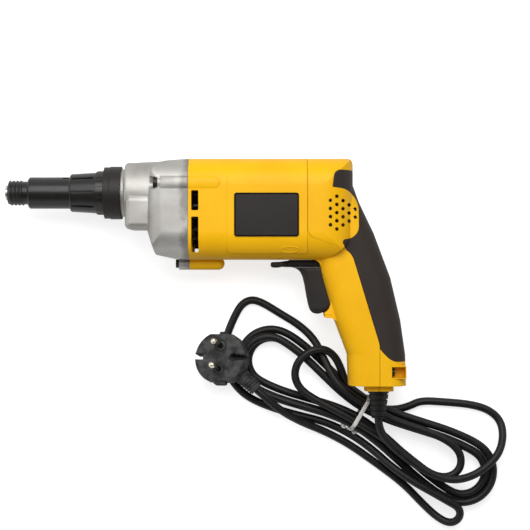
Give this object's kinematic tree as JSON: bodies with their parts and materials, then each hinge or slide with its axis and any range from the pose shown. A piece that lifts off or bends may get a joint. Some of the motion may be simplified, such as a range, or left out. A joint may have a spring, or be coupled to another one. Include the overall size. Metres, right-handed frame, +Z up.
{
  "type": "drywall screwdriver",
  "caption": "Corded pistol-grip drywall screwdriver with adjustable clutch nose, trigger, reversing lever and a tied mains lead with plug.",
  "frame": {"origin": "middle of the tool's outline on the surface that it lies on, cord and boot left out", "axes": "+X from the nose to the back of the handle, +Y from the handle to the barrel's top, +Z up, out of the tool's left side"},
  "size_m": [0.4046, 0.2975, 0.0684],
  "materials": {
    "yellow_housing": "moulded, satin",
    "black_plastic": "moulded, satin",
    "name_plate": "bare film",
    "grip_rubber": "soft, grained",
    "cast_aluminium": "die-cast, satin",
    "bright_steel": "turned",
    "dark_screw": "blackened",
    "bronze": "sintered",
    "copper": "enamelled wire and bars",
    "sheet_stack": "lacquered",
    "carbon": "pressed",
    "cord_rubber": "smooth, dull",
    "plug_rubber": "moulded",
    "plug_metal": "nickel plated",
    "white_tie": "plain"
  },
  "bodies": {
    "housing": {"field_case": "yellow_housing", "handle_cover": "yellow_housing", "nose_collar": "black_plastic", "switch": "black_plastic", "brush_ring": "black_plastic", "cord_clamp": "black_plastic", "name_plate": "name_plate", "rear_grip": "grip_rubber", "gear_case": "cast_aluminium", "mid_plate": "cast_aluminium", "clutch_spring": "bright_steel", "gear_pin": "bright_steel", "front_bearing": "bright_steel", "rear_bearing": "bright_steel", "brush_springs": "bright_steel", "cord_clamp_screws": "bright_steel", "gear_case_screws": "dark_screw", "lower_case_screw": "dark_screw", "cover_screws": "dark_screw", "spindle_bush": "bronze", "pinion_bush": "bronze", "brush_holders": "bronze", "stator": "sheet_stack", "brushes": "carbon", "strain_relief": "cord_rubber", "inner_lead": "cord_rubber", "cord_lead": "cord_rubber", "cord_hank": "cord_rubber", "cord_tail": "cord_rubber", "plug_body": "plug_rubber", "plug_pins": "plug_metal", "cable_tie": "white_tie"},
    "nose": {"nose_tip": "black_plastic", "nose_tube": "black_plastic"},
    "sleeve": {"adjusting_sleeve": "black_plastic"},
    "armature": {"armature_shaft": "bright_steel", "armature_core": "sheet_stack", "armature_windings": "copper", "commutator": "copper", "fan": "black_plastic"},
    "gear": {"drive_gear": "bright_steel"},
    "thrust": {"thrust_washer": "bright_steel"},
    "spindle": {"output_spindle": "bright_steel", "bit_holder": "bright_steel", "retaining_ring": "bright_steel"},
    "trigger": {"trigger": "black_plastic"},
    "lever": {"reversing_lever": "black_plastic"}
  },
  "joints": [
    {"name": "sleeve_turn", "type": "hinge", "parent": "housing", "child": "sleeve", "pos_m": [-0.0926, 0.06565, 0.034], "axis": [1, 0, 0], "range_deg": [-180, 180]},
    {"name": "nose_slide", "type": "slide", "parent": "housing", "child": "nose", "axis": [1, 0, 0], "range_m": [-0.002, 0.002]},
    {"name": "armature_spin", "type": "hinge", "parent": "housing", "child": "armature", "pos_m": [0.0374, 0.04965, 0.034], "axis": [1, 0, 0], "continuous": true},
    {"name": "gear_spin", "type": "hinge", "parent": "housing", "child": "gear", "pos_m": [-0.0326, 0.06565, 0.034], "axis": [1, 0, 0], "continuous": true},
    {"name": "spindle_push", "type": "slide", "parent": "housing", "child": "thrust", "axis": [1, 0, 0], "range_m": [0, 0.003], "stiffness_N_per_m": 1500, "springref_m": -0.004, "deforming": ["clutch_spring"]},
    {"name": "spindle_spin", "type": "hinge", "parent": "thrust", "child": "spindle", "pos_m": [-0.0926, 0.06565, 0.034], "axis": [1, 0, 0], "continuous": true},
    {"name": "trigger_pull", "type": "slide", "parent": "housing", "child": "trigger", "axis": [1, 0, 0], "range_m": [0, 0.006], "stiffness_N_per_m": 800, "springref_m": -0.005},
    {"name": "lever_turn", "type": "hinge", "parent": "housing", "child": "lever", "pos_m": [0.1154, 0.00925, 0.034], "axis": [0, 1, 0], "range_deg": [-6, 6]}
  ],
  "couplings": [
    {"joint": "sleeve_turn", "follows": "nose_slide", "rad_per_m": 1570.8},
    {"joint": "gear_spin", "follows": "armature_spin", "ratio": -0.25}
  ]
}
